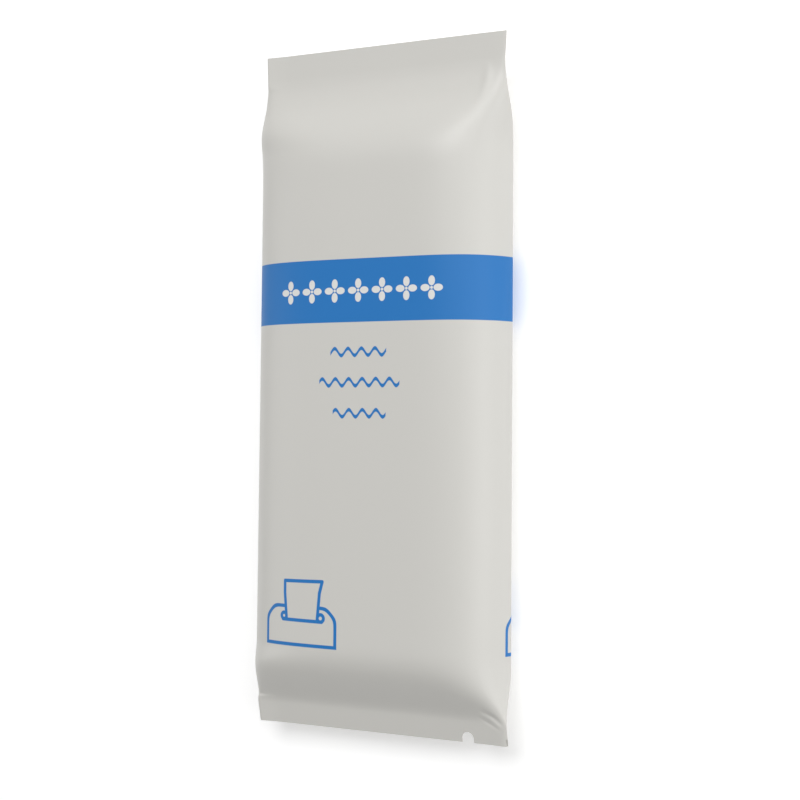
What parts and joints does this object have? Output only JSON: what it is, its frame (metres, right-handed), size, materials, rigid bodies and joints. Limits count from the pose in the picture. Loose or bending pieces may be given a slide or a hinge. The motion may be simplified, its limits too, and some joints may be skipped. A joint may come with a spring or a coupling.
{
  "type": "pocket tissue pack",
  "caption": "Slim sealed pack of folded paper tissues in a printed film sleeve with flat end seals, lying on its back.",
  "frame": {"origin": "middle of the pack's outline, on the surface it lies on", "axes": "+X towards the pack's right side seen from its front, +Y towards its head end, +Z out of its front face"},
  "size_m": [0.0516, 0.124, 0.0137],
  "materials": {
    "film": "satin off-white film"
  },
  "bodies": {
    "root": {"tissue_pack": "film"}
  },
  "joints": []
}
